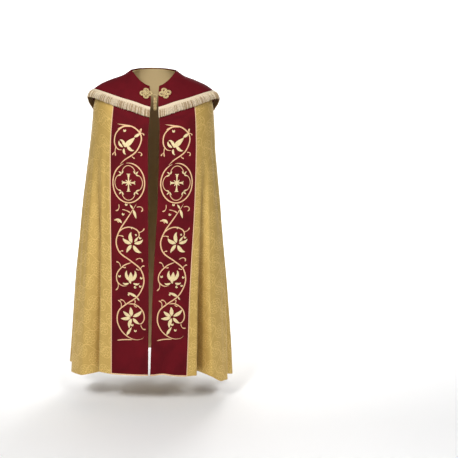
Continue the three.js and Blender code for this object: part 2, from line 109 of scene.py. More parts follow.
FLOOR_DROP = 0.09
FLOOR_HALF = 9.0
FLOOR_WIDENED = 1.5
FLOOR_SHIFT = 2.0
SWEEP_START = 3.0
SWEEP_RADIUS = 2.5
bm = bmesh.new()
bmesh.ops.create_grid(bm, x_segments=1, y_segments=40, size=FLOOR_HALF)
for v in bm.verts:
    past = v.co.y + FLOOR_SHIFT - SWEEP_START
    turned = min(max(past / SWEEP_RADIUS, 0), math.pi / 2)
    level = min(past, 0) + SWEEP_START + SWEEP_RADIUS * math.sin(turned)
    up = SWEEP_RADIUS * (1 - math.cos(turned)) + max(past - SWEEP_RADIUS * math.pi / 2, 0)
    v.co = (v.co.x * FLOOR_WIDENED, level, cad_box[0][2] - FLOOR_DROP + up)
pale = bpy.data.materials.new("pale_floor")
pale.use_nodes = True
pale.node_tree.nodes["Principled BSDF"].inputs["Base Color"].default_value = (0.93, 0.93, 0.93, 1)
pale.node_tree.nodes["Principled BSDF"].inputs["Roughness"].default_value = 0.8
piece_of("floor", bm, pale)

# ---------------------------------------------------------------- brocade body
# One piece of gold damask cut as a sector of a circle, lined, hanging from the shoulders in deep folds that
# grow towards the hem. It is open in front, where its edges carry the velvet bands.
RING_COLUMNS = (
    "front", "side", "back", "fall", "wide_left", "wide_right", "fore", "mid", "aft", "left", "right", "band",
)
RINGS = np.array([
    (-0.060, 0.012, 0.024, 0.00, 0.098, 0.098, -0.072, 0.000, 0.078, 0.020, 0.024, 0.5),
    (-0.085, -0.014, -0.014, 0.00, 0.136, 0.136, -0.095, 0.002, 0.100, 0.017, 0.021, 0.75),
    (-0.113, -0.034, -0.058, 0.00, 0.186, 0.186, -0.117, 0.004, 0.122, 0.014, 0.019, 1),
    (-0.148, -0.058, -0.100, 0.00, 0.232, 0.232, -0.135, 0.006, 0.140, 0.016, 0.020, 1),
    (-0.186, -0.093, -0.145, 0.00, 0.262, 0.262, -0.147, 0.008, 0.152, 0.020, 0.023, 1),
    (-0.232, -0.148, -0.200, 0.00, 0.278, 0.277, -0.156, 0.009, 0.160, 0.023, 0.025, 1),
    (-0.290, -0.240, -0.275, 0.00, 0.288, 0.285, -0.163, 0.010, 0.168, 0.026, 0.024, 1),
    (-0.360, -0.360, -0.360, 0.00, 0.303, 0.292, -0.168, 0.010, 0.176, 0.027, 0.023, 1),
    (-0.360, -0.360, -0.360, 0.11, 0.320, 0.307, -0.174, 0.012, 0.190, 0.027, 0.020, 1),
    (-0.360, -0.360, -0.360, 0.22, 0.338, 0.323, -0.180, 0.014, 0.205, 0.027, 0.016, 1),
    (-0.360, -0.360, -0.360, 0.33, 0.353, 0.336, -0.186, 0.017, 0.222, 0.026, 0.010, 1),
    (-0.360, -0.360, -0.360, 0.44, 0.367, 0.349, -0.192, 0.020, 0.240, 0.025, 0.003, 1),
    (-0.360, -0.360, -0.360, 0.55, 0.380, 0.361, -0.198, 0.024, 0.258, 0.024, -0.003, 1),
    (-0.360, -0.360, -0.360, 0.66, 0.390, 0.371, -0.203, 0.028, 0.276, 0.024, -0.008, 1),
    (-0.360, -0.360, -0.360, 0.77, 0.399, 0.380, -0.208, 0.032, 0.294, 0.025, -0.011, 1),
    (-0.360, -0.360, -0.360, 0.88, 0.409, 0.388, -0.212, 0.036, 0.312, 0.026, -0.014, 1),
    (-0.360, -0.360, -0.360, 1.00, 0.420, 0.396, -0.215, 0.040, 0.330, 0.027, -0.018, 1),
])
LAST_RING = len(RINGS) - 1
# turn from the front to the middle of the back, and the hem's height on the left and on the right
HEM_TURN = np.array([0, 0.14, 0.2, 0.31, 0.42, 0.54, 0.75, 1])
HEM = {
    "left": np.array([-1.390, -1.388, -1.384, -1.420, -1.426, -1.415, -1.430, -1.440]),
    "right": np.array([-1.390, -1.403, -1.411, -1.462, -1.474, -1.486, -1.465, -1.440]),
}
STRIP = {"left": (0.045, 0.066), "right": (0.024, 0.048)}
# place and half width across the cloth, depth at the hem, height where it starts, lean
VALLEYS = {
    "left": [
        (2.06, 0.06, 0.096, -0.30, -0.55),
        (2.3, 0.075, 0.084, -0.42, 0.25),
        (2.48, 0.065, 0.092, -0.56, -0.2),
        (2.67, 0.07, 0.084, -0.62, 0.2),
        (2.86, 0.065, 0.074, -0.76, -0.15),
    ],
    "right": [
        (0.34, 0.3, 0.013, -0.98, 0),
        (2.052, 0.052, 0.092, -0.30, -0.15),
        (2.31, 0.075, 0.088, -0.40, 0.35),
        (2.49, 0.07, 0.086, -0.54, 0.15),
        (2.7, 0.075, 0.080, -0.60, -0.2),
        (2.88, 0.06, 0.062, -0.72, 0.1),
    ],
}
VALLEY_GROWTH = 1.35
SQUARENESS = 2.2
BAND_WIDE = 0.172
PATH_STEPS = 420
CLOTH_WALL = 0.002
SIGN = {"left": -1.0, "right": 1.0}


def through(p0, p1, p2, p3, k):
    """A smooth curve's point a share k of the way from p1 to p2."""
    return p1 + 0.5 * k * (p2 - p0 + k * (2 * p0 - 5 * p1 + 4 * p2 - p3 + k * (3 * (p1 - p2) + p3 - p0)))


def run_along(points):
    """The length run so far at each point of a line."""
    return np.concatenate([[0], np.cumsum(np.linalg.norm(np.diff(points, axis=0), axis=1))])


def unit(ways):
    return ways / np.linalg.norm(ways, axis=-1)[..., None]


def ring_values(ring):
    """The ring table's columns at a place between its rows, on a smooth curve."""
    r = min(max(ring, 0.0), float(LAST_RING))
    i = min(int(r), LAST_RING - 1)
    row = through(RINGS[max(i - 1, 0)], RINGS[i], RINGS[i + 1], RINGS[min(i + 2, LAST_RING)], r - i)
    return dict(zip(RING_COLUMNS, row))


def eased(x, xs, ys):
    i = np.clip(np.searchsorted(xs, x, side="right"), 1, len(xs) - 1)
    k = np.clip((x - xs[i - 1]) / (xs[i] - xs[i - 1]), 0, 1)
    return ys[i - 1] + (ys[i] - ys[i - 1]) * k * k * (3 - 2 * k)


def half_ring(side, ring):
    """Points from a front edge round to the middle of the back, and the length run so far."""
    at = ring_values(ring)
    wide = at["wide_" + side]
    power = 2 / SQUARENESS
    edge = at[side]
    start = math.copysign(math.asin((abs(edge) / wide) ** (1 / power)), edge)
    angle = np.linspace(start, math.pi, PATH_STEPS + 1)
    across = np.sign(np.sin(angle)) * np.abs(np.sin(angle)) ** power
    ahead = np.cos(angle) > 0
    reach = np.where(ahead, at["fore"] - at["mid"], at["aft"] - at["mid"])
    level = at["side"] + (np.where(ahead, at["front"], at["back"]) - at["side"]) * np.cos(angle) ** 2
    hem = eased(angle / math.pi, HEM_TURN, HEM[side])
    points = np.stack([
        SIGN[side] * wide * across,
        at["mid"] + reach * np.abs(np.cos(angle)) ** power,
        level + (hem - level) * at["fall"],
    ], axis=1)
    return points, run_along(points)


def read_path(points, run, length):
    return np.stack([np.interp(length, run, points[:, k]) for k in range(3)], axis=-1)


def length_across(side, ring, c, run):
    """Length from the front edge at column c: 0 to 1 is the band, 1 to 2 the strip, 2 to 3 the rest."""
    at = ring_values(ring)
    band = BAND_WIDE * at["band"]
    top, low = STRIP[side]
    strip = (top + (low - top) * at["fall"]) * at["band"]
    return np.interp(c, [0, 1, 2, 3], [0, band, band + strip, run[-1]])


def fine_creases(side, c, z):
    """Small soft creases on top of the valleys: how far each pushes the cloth in."""
    push = np.zeros_like(c)
    for at, half, deep, top, low, slant in CREASES[side]:
        middle = at + slant * (top - z)
        near = np.clip((z - low) / (top - low), 0, 1)
        along = np.sin(math.pi * near) ** 0.7
        push += deep * along * np.exp(-(((c - middle) / half) ** 2))
    return push


# place and half width across, depth, top and bottom heights, slant across for each metre down
CREASES = {
    "left": [
        (2.02, 0.014, 0.0100, -0.50, -1.55, 0.00),
        (2.13, 0.020, 0.0035, -0.30, -1.30, 0.03),
        (2.20, 0.016, 0.0040, -0.42, -1.38, -0.02),
        (1.60, 0.220, 0.0020, -0.25, -0.95, 0.10),
        (2.40, 0.018, 0.0050, -0.30, -1.20, 0.02),
        (2.57, 0.016, 0.0045, -0.45, -1.35, -0.03),
        (2.78, 0.018, 0.0045, -0.55, -1.40, 0.02),
        (0.45, 0.16, 0.0016, -0.75, -1.50, 0.10),
        (2.94, 0.016, 0.0030, -0.60, -1.42, 0.00),
    ],
    "right": [
        (2.035, 0.014, 0.0120, -0.50, -1.55, 0.00),
        (2.17, 0.022, 0.0050, -0.20, -0.80, 0.05),
        (2.10, 0.014, 0.0040, -0.45, -1.30, 0.02),
        (2.22, 0.014, 0.0035, -0.70, -1.45, -0.02),
        (2.40, 0.018, 0.0050, -0.32, -1.30, -0.03),
        (2.60, 0.018, 0.0050, -0.50, -1.38, 0.02),
        (2.80, 0.016, 0.0040, -0.52, -1.40, -0.02),
        (0.62, 0.16, 0.0030, -1.00, -1.55, -0.25),
        (2.955, 0.016, 0.0030, -0.66, -1.42, 0.00),
    ],
}


def cloth_row(side, ring, c):
    """Points of the folded cloth at columns c."""
    points, run = half_ring(side, ring)
    length = length_across(side, ring, c, run)
    spot = read_path(points, run, length)
    step = 0.004
    along = read_path(points, run, np.clip(length + step, 0, run[-1])) - read_path(points, run, length - step)
    along[:, 2] = 0
    along = unit(along)
    inward = SIGN[side] * np.stack([-along[:, 1], along[:, 0], 0 * along[:, 0]], axis=1)
    push = fine_creases(side, c, spot[:, 2])
    slide = np.zeros_like(push)
    for at, half, deep, top, lean in VALLEYS[side]:
        off = np.clip(np.abs(c - at) / half, 0, 1)
        level = np.clip((spot[:, 2] - top) / (-1.4 - top), 0, 1.1)
        dip = deep * level ** VALLEY_GROWTH * (0.5 + 0.5 * np.cos(math.pi * off))
        push += dip
        slide += lean * dip
    return spot + inward * push[:, None] + along * slide[:, None]


def facing_of(grid):
    """Which way each point of a grid faces: rows run down, columns from the left front round the back."""
    return unit(np.cross(np.gradient(grid, axis=1), np.gradient(grid, axis=0)))


def sheet_mesh(name, grid, flat, finishes, thick, keep=None, fold_shade=None):
    """A grid of cloth bent onto its points, with its flat place as UV, and a wall made inwards.

    A second finish is the one on the inner side."""
    rows, columns = grid.shape[:2]
    bm = bmesh.new()
    bmesh.ops.create_grid(bm, x_segments=columns - 1, y_segments=rows - 1, size=0.5)
    uv = bm.loops.layers.uv.new("flat")
    # A per-point layer of painted shade: the share by which the brocade's colour is darkened in the folds.
    deep = bm.verts.layers.float.new("fold_shade")
    places = {}
    for v in bm.verts:
        i = round((0.5 - v.co.y) * (rows - 1))
        j = round((v.co.x + 0.5) * (columns - 1))
        places[v] = (i, j)
    for v, (i, j) in places.items():
        v.co = grid[i, j]
        v[deep] = 0.0 if fold_shade is None else fold_shade[i, j]
    for face in bm.faces:
        for loop in face.loops:
            loop[uv].uv = flat[places[loop.vert]]
        face.smooth = True
    if keep is not None:
        cells = {f: tuple(min(places[v][k] for v in f.verts) for k in (0, 1)) for f in bm.faces}
        bmesh.ops.delete(bm, geom=[f for f, cell in cells.items() if not keep(*cell)], context="FACES")
    for edge in bm.edges:
        edge.smooth = len(edge.link_faces) == 2
    bm.normal_update()
    first = next(iter(bm.faces))
    i, j = places[first.verts[0]]
    if first.normal.dot(Vector(facing_of(grid)[i, j])) < 0:
        bmesh.ops.reverse_faces(bm, faces=bm.faces)
    piece = piece_of(name, bm, *finishes)
    wall = piece.modifiers.new("wall", "SOLIDIFY")
    wall.thickness = thick
    wall.offset = -1
    wall.material_offset = len(finishes) - 1
    wall.material_offset_rim = 0
    return piece


FINE = 5  # fine rows for each ring
BAND_COLUMNS, STRIP_COLUMNS, REST_COLUMNS = 24, 8, 130
HEM_FALL = 1.045
LEVEL_RINGS = 7
RINGS_PER_M = (LAST_RING - LEVEL_RINGS) / HEM_FALL
CUT_RADIUS = 1.5
CORNER_HIGH = 0.215
CORNER_SHORTEST = 0.034
NECK_CUT = 0.08


COLUMNS = np.concatenate([
    np.linspace(0, 1, BAND_COLUMNS + 1),
    np.linspace(1, 2, STRIP_COLUMNS + 1)[1:],
    np.linspace(2, 3, REST_COLUMNS + 1)[1:],
])
AROUND = [("left", c) for c in COLUMNS] + [("right", c) for c in COLUMNS[-2::-1]]
EDGE = BAND_COLUMNS


body_rings = np.linspace(0, LAST_RING, LAST_RING * FINE + 1)
body = np.array([
    np.concatenate([cloth_row("left", ring, COLUMNS), cloth_row("right", ring, COLUMNS)[::-1][1:]])
    for ring in body_rings
])


def corner_high(length):
    """Height of the corner piece's seam above the hem: it is straight in the flat."""
    return CUT_RADIUS - (CUT_RADIUS - CORNER_HIGH) / np.cos(length / CUT_RADIUS)


hem_run = half_ring("left", LAST_RING)[1]
seam_high = corner_high(length_across("left", LAST_RING, COLUMNS, hem_run))
corner_columns = int(np.argmax(seam_high < CORNER_SHORTEST))
seam_ring = LAST_RING - np.maximum(seam_high, CORNER_SHORTEST) * RINGS_PER_M
SEAM_ROW = LAST_RING - 2
back_again = np.clip((np.arange(len(COLUMNS)) - corner_columns) / (len(COLUMNS) - 1 - corner_columns), 0, 1)
seam_ring += (SEAM_ROW - seam_ring) * back_again
for j, seam in enumerate(seam_ring[:-1]):
    stops = [0, SEAM_ROW - 1, SEAM_ROW, LAST_RING]
    rings = np.interp(body_rings, stops, [0, SEAM_ROW - 1, seam, LAST_RING])
    body[:, j] = read_path(body[:, j].copy(), body_rings, rings)
body_facing = facing_of(body)


def flat_places(grid):
    """Where each point lies in the flat cut: a sector round the neck, its angle run along the hem."""
    angle = run_along(grid[-1]) / CUT_RADIUS
    down = np.linalg.norm(np.diff(grid, axis=0), axis=2)
    fall = np.concatenate([np.zeros((1, grid.shape[1])), np.cumsum(down, axis=0)]) + NECK_CUT
    return np.stack([fall * np.cos(angle), fall * np.sin(angle)], axis=-1)


# Painted shade in the folds: each point's depth behind its neighbours sets how far the brocade's colour is
# darkened.
FOLD_SHADE_REACH = 9
FOLD_SHADE_DEEP = 0.030


def fold_shade_mask(grid):
    """How far each point lies in behind its neighbours across, as a share of a deep valley: the mask for the
    painted shade that darkens the brocade in its folds.
    """
    columns = grid.shape[1]
    wide = np.pad(grid, ((0, 0), (FOLD_SHADE_REACH, FOLD_SHADE_REACH), (0, 0)), mode="edge")
    around = np.mean([wide[:, k:k + columns] for k in range(2 * FOLD_SHADE_REACH + 1)], axis=0)
    return np.clip(np.sum((around - grid) * facing_of(grid), axis=2) / FOLD_SHADE_DEEP, 0, 1)


body_flat = flat_places(body)
body_fold_shade = fold_shade_mask(body)


def new_material(name, colour, roughness):
    finish = bpy.data.materials.new(name)
    finish.use_nodes = True
    shader = finish.node_tree.nodes["Principled BSDF"]
    shader.inputs["Base Color"].default_value = (*colour, 1)
    shader.inputs["Roughness"].default_value = roughness
    return finish, finish.node_tree, shader


def node(tree, kind, inputs=None, **settings):
    made = tree.nodes.new(kind)
    for key, value in settings.items():
        setattr(made, key, value)
    for key, value in (inputs or {}).items():
        if isinstance(value, bpy.types.NodeSocket):
            tree.links.new(value, made.inputs[key])
        else:
            made.inputs[key].default_value = value
    return made


def maths(tree, operation, a, b=0.0, c=0.0):
    made = node(tree, "ShaderNodeMath", {0: a, 1: b, 2: c}, operation=operation)
    return made.outputs[0]


def blend_colour(tree, factor, low, high):
    made = node(tree, "ShaderNodeMix", data_type="RGBA")
    for socket, value in (("Factor", factor), ("A", low), ("B", high)):
        target = next(s for s in made.inputs if s.name == socket and s.enabled)
        if isinstance(value, bpy.types.NodeSocket):
            tree.links.new(value, target)
        else:
            target.default_value = value
    return next(s for s in made.outputs if s.enabled)


def finish_with(tree, shader, colour, height, strength, distance):
    """Join a colour and a raised surface to a finish's shader."""
    tree.links.new(colour, shader.inputs["Base Color"])
    bump = node(tree, "ShaderNodeBump", {"Strength": strength, "Distance": distance, "Height": height})
    tree.links.new(bump.outputs[0], shader.inputs["Normal"])


BROCADE_REPEAT = 0.105
REPEAT_TALLER = 1.3
GOLD_GROUND = (0.46, 0.285, 0.062, 1)
GOLD_FIGURE = (0.80, 0.565, 0.185, 1)
# dark brown painted into the fold valleys as painted shade
GOLD_PAINTED_FOLD_SHADE = (0.13, 0.058, 0.014, 1)


def make_brocade():
    """Tone-on-tone damask: dotted rosettes in rings, joined by ogee lines, over a fine weave, with painted
    shade darkening the colour deep in the folds.
    """
    finish, tree, shader = new_material("gold_brocade", GOLD_GROUND[:3], 0.5)
    place = node(tree, "ShaderNodeUVMap", uv_map="flat").outputs[0]
    split = node(tree, "ShaderNodeSeparateXYZ", {0: place})
    u, v = split.outputs["X"], split.outputs["Y"]
    figure = None
    for shift in (0.0, 0.5):
        x = maths(tree, "MULTIPLY_ADD", u, 1 / BROCADE_REPEAT, shift)
        y = maths(tree, "MULTIPLY_ADD", v, 1 / (BROCADE_REPEAT * REPEAT_TALLER), shift)
        x = maths(tree, "SUBTRACT", maths(tree, "FRACT", x), 0.5)
        y = maths(tree, "MULTIPLY", maths(tree, "SUBTRACT", maths(tree, "FRACT", y), 0.5), REPEAT_TALLER)
        far = maths(tree, "SQRT", maths(tree, "MULTIPLY_ADD", x, x, maths(tree, "MULTIPLY", y, y)))
        spin = maths(tree, "ARCTAN2", y, x)
        petals = maths(tree, "MULTIPLY", maths(tree, "COSINE", maths(tree, "MULTIPLY", spin, 8.0)), 0.045)
        for drawn in (
            maths(tree, "COMPARE", far, 0.33, 0.012),
            maths(tree, "COMPARE", far, 0.12, 0.01),
            maths(tree, "COMPARE", maths(tree, "SUBTRACT", far, petals), 0.215, 0.024),
            maths(tree, "LESS_THAN", far, 0.055),
        ):
            figure = drawn if figure is None else maths(tree, "MAXIMUM", figure, drawn)
    wave = maths(tree, "SINE", maths(tree, "MULTIPLY", v, 2 * math.pi / (BROCADE_REPEAT * REPEAT_TALLER)))
    ogee = maths(tree, "MULTIPLY_ADD", wave, 0.25, maths(tree, "DIVIDE", u, BROCADE_REPEAT))
    figure = maths(tree, "MAXIMUM", figure, maths(tree, "COMPARE", maths(tree, "FRACT", ogee), 0.5, 0.02))
    speck = node(tree, "ShaderNodeTexNoise", {"Vector": place, "Scale": 900.0, "Detail": 2.0})
    cloud = node(tree, "ShaderNodeTexNoise", {"Vector": place, "Scale": 160.0, "Detail": 3.0})
    tone = maths(tree, "MULTIPLY_ADD", figure, 0.42, maths(tree, "MULTIPLY", cloud.outputs[0], 0.55))
    tone = maths(tree, "MULTIPLY_ADD", maths(tree, "SUBTRACT", speck.outputs[0], 0.5), 0.7, tone)
    tone = node(tree, "ShaderNodeClamp", {0: tone}).outputs[0]
    colour = blend_colour(tree, tone, GOLD_GROUND, GOLD_FIGURE)
    # Painted shade: the colour is darkened towards dark brown where the cloth lies deep in its folds.
    fold_shade = node(tree, "ShaderNodeAttribute", attribute_name="fold_shade").outputs["Fac"]
    colour = blend_colour(tree, maths(tree, "MULTIPLY", fold_shade, 0.85), colour, GOLD_PAINTED_FOLD_SHADE)
    rough = maths(tree, "SUBTRACT", 0.52, maths(tree, "MULTIPLY", figure, 0.12))
    tree.links.new(rough, shader.inputs["Roughness"])
    relief = maths(tree, "MULTIPLY_ADD", figure, 0.6, speck.outputs[0])
    finish_with(tree, shader, colour, relief, 0.35, 0.0006)
    shader.inputs["Metallic"].default_value = 0.45
    shader.inputs["Sheen Weight"].default_value = 0.15
    shader.inputs["Sheen Tint"].default_value = (1.0, 0.85, 0.55, 1)
    return finish


def make_lining():
    finish, tree, shader = new_material("lining_satin", (0.62, 0.47, 0.24), 0.45)
    place = node(tree, "ShaderNodeUVMap", uv_map="flat").outputs[0]
    weave = node(tree, "ShaderNodeTexNoise", {"Vector": place, "Scale": 1200.0})
    bump = node(tree, "ShaderNodeBump", {"Strength": 0.2, "Distance": 0.0003, "Height": weave.outputs[0]})
    tree.links.new(bump.outputs[0], shader.inputs["Normal"])
    return finish


brocade = make_brocade()
lining = make_lining()


def body_cell(i, j):
    """The corner piece takes the cells below its seam on the left front."""
    return j >= corner_columns or i < SEAM_ROW * FINE


gold_cloth = (brocade, lining)
cape = sheet_mesh("cape_body_brocade", body, body_flat, gold_cloth, CLOTH_WALL, body_cell, body_fold_shade)
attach(cape, "root")
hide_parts("cape_body")



def corner_cell(i, j):
    return not body_cell(i, j)


corner = sheet_mesh("corner_piece_brocade", body, body_flat, gold_cloth, CLOTH_WALL, corner_cell, body_fold_shade)
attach(corner, "root")
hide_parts("corner_piece_left")

# ---------------------------------------------------------------- velvet front bands
# Two straight bands of burgundy pile velvet, interlined and sewn flat along the front edges from the neck
# to the hem, where they are faced back.
SEAM_GAP = 0.0003
VELVET_WALL = 0.002
PIPING_WIDE = 0.005
VELVET_DEEP = (0.055, 0.0013, 0.0040, 1)
VELVET_LIGHT = (0.165, 0.0036, 0.0095, 1)


def make_velvet():
    """Short dense pile: dark seen straight on, lighter towards the edges of folds, with brushed patches."""
    finish, tree, shader = new_material("burgundy_velvet", VELVET_DEEP[:3], 0.85)
    place = node(tree, "ShaderNodeUVMap", uv_map="flat").outputs[0]
    brushing = {"Vector": place, "Scale": 9.0, "Detail": 3.0, "Distortion": 0.6}
    brushed = node(tree, "ShaderNodeTexNoise", brushing)
    pile = node(tree, "ShaderNodeTexNoise", {"Vector": place, "Scale": 1400.0, "Detail": 1.0})
    tone = maths(tree, "MULTIPLY_ADD", pile.outputs[0], 0.25, -0.15)
    tone = maths(tree, "MULTIPLY_ADD", brushed.outputs[0], 0.9, tone)
    tone = node(tree, "ShaderNodeClamp", {0: tone}).outputs[0]
    colour = blend_colour(tree, tone, VELVET_DEEP, VELVET_LIGHT)
    finish_with(tree, shader, colour, pile.outputs[0], 0.25, 0.0004)
    shader.inputs["Sheen Weight"].default_value = 0.1
    shader.inputs["Sheen Roughness"].default_value = 0.35
    shader.inputs["Sheen Tint"].default_value = (0.75, 0.08, 0.14, 1)
    shader.inputs["Specular IOR Level"].default_value = 0.15
    return finish


velvet = make_velvet()
whole_columns = len(AROUND)


def front_slice(side, low, high):
    """Columns of the body's grid from the front edge, in its own order."""
    if side == "left":
        return slice(low, high + 1)
    return slice(whole_columns - 1 - high, whole_columns - low)


def band_grid(side, lift, short=0.0):
    """The body's own points under a band, moved out, with the last row raised by a short length."""
    part = front_slice(side, 0, EDGE)
    grid = body[:, part] + lift * body_facing[:, part]
    step = grid[-2] - grid[-1]
    grid[-1] += step * (short / np.linalg.norm(step, axis=1))[:, None]
    flat = np.zeros((*grid.shape[:2], 2))
    flat[:, :, 0] = np.linspace(0, BAND_WIDE, EDGE + 1)[None, :] * (1 if side == "left" else -1)
    flat[:, :, 1] = body_rings[:, None] / RINGS_PER_M
    return grid, flat


for side in ("left", "right"):
    grid, flat = band_grid(side, SEAM_GAP + VELVET_WALL, PIPING_WIDE + SEAM_GAP)
    band = sheet_mesh(f"front_band_{side}_velvet", grid, flat, (velvet,), VELVET_WALL)
    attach(band, "root")
    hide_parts(f"front_band_{side}")

# ---------------------------------------------------------------- piping
# Thin salmon-gold piping that covers each band's outer edge and turns along the hem below it.
PIPING_HIGH = 0.0026
PIPING_WALL = 0.0012
PIPING_ARCH = np.array([0.35, 0.85, 1.0, 0.85, 0.35])


def make_piping():
    finish, tree, shader = new_material("piping_thread", (0.80, 0.50, 0.27), 0.55)
    place = node(tree, "ShaderNodeTexCoord").outputs["Object"]
    twist = node(tree, "ShaderNodeTexWave", {"Vector": place, "Scale": 260.0}, bands_direction="DIAGONAL")
    colour = blend_colour(tree, twist.outputs["Fac"], (0.62, 0.36, 0.17, 1), (0.90, 0.62, 0.38, 1))
    finish_with(tree, shader, colour, twist.outputs["Fac"], 0.5, 0.0006)
    return finish


piping_finish = make_piping()


def piping_strip(name, edge_line, facing, way):
    """A low arched strip beside a line of points, running the given way from it."""
    across = np.linspace(0, 1, len(PIPING_ARCH))
    rows = []
    for place, arch in zip(across, PIPING_ARCH):
        rows.append(edge_line + way * (place * PIPING_WIDE) + facing * (SEAM_GAP + PIPING_HIGH * arch))
    grid = np.stack(rows, axis=1)
    flat = np.zeros((*grid.shape[:2], 2))
    return sheet_mesh(name, grid, flat, (piping_finish,), PIPING_WALL)


for side in ("left", "right"):
    edge = EDGE if side == "left" else whole_columns - 1 - EDGE
    beyond = edge + 1 if side == "left" else edge - 1
    line = body[:, edge]
    way = unit(body[:, beyond] - line)
    if side == "right":
        line, way = line + way * PIPING_WIDE, -way
    piping = piping_strip(f"piping_{side}_braid", line, body_facing[:, edge], way)
    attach(piping, "root")
    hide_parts(f"piping_{side}")
    hem_part = front_slice(side, 0, EDGE)
    hem_line = body[-1, hem_part]
    up = unit(body[-2, hem_part] - hem_line)
    hem_facing = body_facing[-1, hem_part]
    hem_piping = piping_strip(f"hem_piping_{side}_braid", hem_line[::-1], hem_facing[::-1], up[::-1])
    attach(hem_piping, "root")

# ---------------------------------------------------------------- band embroidery
# A scrolling vine with roundels, worked in padded satin stitch over each band: peach stems, pale gold leaves
# and a medallion with a plain cross. Both bands carry it the same way round.
STITCH_HIGH = 0.0009
STITCH_SINK = 0.0004
FULL_FROM = 0.003  # a ribbon narrower than this lies lower
SECTION = np.array([(-1, 0), (-0.72, 0.62), (0, 1), (0.72, 0.62), (1, 0), (0, -0.01), (-1, 0)])


def smooth_line(points, step=0.0028):
    """A smooth curve through a few points, with even steps."""
    p = np.array(points, float)
    if len(p) < 3:
        p = np.linspace(p[0], p[-1], 3)
    ends = np.vstack([2 * p[0] - p[1], p, 2 * p[-1] - p[-2]])
    fine = []
    for i in range(len(p) - 1):
        fine.append(through(*ends[i:i + 4], np.linspace(0, 1, 16, endpoint=False)[:, None]))
    fine = np.vstack([*fine, p[-1:]])
    run = run_along(fine)
    count = max(int(run[-1] / step), 5)
    even = np.linspace(0, run[-1], count + 1)
    return np.stack([np.interp(even, run, fine[:, k]) for k in (0, 1)], axis=1)


def curl_line(at, heading, long, turns, hook=1.0, count=12):
    """A spine that starts at a point along a heading and curls by so many turns, faster near its tip."""
    k = np.linspace(0, 1, count)
    angle = heading + turns * 2 * math.pi * k ** (1 + hook)
    steps = np.stack([np.cos(angle), np.sin(angle)], axis=1) * long / (count - 1)
    return np.array(at) + np.vstack([np.zeros((1, 2)), np.cumsum(steps[:-1], axis=0)])


def sideways(line):
    """Which way is left of a line, at each of its points."""
    along = unit(np.gradient(line, axis=0))
    return np.stack([-along[:, 1], along[:, 0]], axis=1)


def stitched(bm, line, widths, place, finish, high=STITCH_HIGH):
    """A domed ribbon of satin stitch along a line, closed underneath, drawn in to nothing at both ends."""
    uv = bm.loops.layers.uv.get("stitch") or bm.loops.layers.uv.new("stitch")
    count = len(line)
    widths = np.interp(np.linspace(0, 1, count), np.linspace(0, 1, len(widths)), widths)
    widths[0] = widths[-1] = 0
    run = run_along(line)
    flat = line[:, None, :] + sideways(line)[:, None, :] * (SECTION[None, :, :1] * widths[:, None, None] / 2)
    top = np.clip(widths / FULL_FROM, 0, 1)[:, None] * SECTION[None, :, 1] * high - STITCH_SINK
    top[widths == 0] = -STITCH_SINK
    spots, facing = place(flat.reshape(-1, 2))
    spots = (spots + facing * top.reshape(-1, 1)).reshape(count, len(SECTION), 3)
    made = bmesh.ops.create_grid(bm, x_segments=len(SECTION) - 1, y_segments=count - 1, size=0.5)
    index = {}
    for v in made["verts"]:
        i, j = round((v.co.y + 0.5) * (count - 1)), round((v.co.x + 0.5) * (len(SECTION) - 1))
        index[v] = (i, j)
    for v, (i, j) in index.items():
        v.co = spots[i, j]
    for face in {f for v in made["verts"] for f in v.link_faces}:
        face.material_index = finish
        face.smooth = True
        for loop in face.loops:
            i, j = index[loop.vert]
            loop[uv].uv = (run[i], SECTION[j][0] * widths[i] / 2)
    bmesh.ops.remove_doubles(bm, verts=made["verts"], dist=2e-6)


LEAF = (0, 0.55, 0.9, 1.0, 0.9, 0.66, 0.36, 0)
STEM = (0, 1, 1, 1, 1, 1, 1, 0.8, 0)
RING = (0, 1, 1, 1, 1, 1, 1, 1, 1, 1, 1, 0)
CROSS_ARM = (0, 0.6, 0.55, 0.5, 0.55, 0.7, 1.0, 0.9, 0)
FLOURISH = (0, 0.8, 1.1, 1.2, 1.0, 0.8, 0.7, 0.9, 0)
HOOK = (0, 1, 0.85, 0.75, 0.8, 1.3, 1.5, 0)
OUTLINE = 0.0014
TENDRIL_WIDE = 0.005
PEACH, GOLD = 0, 1


def scaled(profile, width):
    return [w * width for w in profile]


def leaf(bm, at, degrees, long, wide, turns, place):
    """A satin leaf with a thin outline down both sides."""
    line = curl_line(at, math.radians(degrees), long, turns)
    stitched(bm, line, scaled(LEAF, wide), place, GOLD)
    half = np.interp(np.linspace(0, 1, len(line)), np.linspace(0, 1, len(LEAF)), scaled(LEAF, wide / 2))
    side = sideways(line) * half[:, None]
    for edge in (line + side, line - side):
        stitched(bm, edge, scaled(STEM, OUTLINE), place, PEACH, STITCH_HIGH * 0.8)


def tendril(bm, at, degrees, long, turns, place):
    line = curl_line(at, math.radians(degrees), long, turns, 0.8, 16)
    stitched(bm, line, scaled(HOOK, TENDRIL_WIDE), place, PEACH)


def heart(bm, at, degrees, size, place):
    for turn in (-28, 28):
        leaf(bm, at, degrees + turn, size, size * 0.62, -turn / 360, place)


# The vine and its branches: points in millimetres, across a band from its left and down from the neck.
VINE_TOP = [
    (18, -220), (60, -226), (100, -233), (133, -259), (141, -295), (117, -345), (66, -382), (38, -410),
]
VINE_LOW = [
    (132, -559), (106, -602), (70, -658), (42, -701), (24, -755), (40, -805), (92, -844), (134, -880),
    (150, -928), (142, -971), (116, -1013), (68, -1047), (34, -1078), (26, -1124), (42, -1167),
    (72, -1199), (110, -1215), (144, -1209), (156, -1189), (146, -1179),
]
BRANCHES = [
    [(100, -233), (58, -233), (24, -263), (18, -305), (34, -333), (62, -337)],
    [(34, -717), (54, -696), (86, -687), (120, -699), (131, -723), (116, -745)],
    [(100, -848), (58, -866), (27, -902), (26, -939), (50, -960), (78, -959)],
    [(70, -1046), (108, -1047), (142, -1074), (152, -1112), (138, -1138), (112, -1134)],
    [(24, -1221), (60, -1216), (100, -1216)],
]
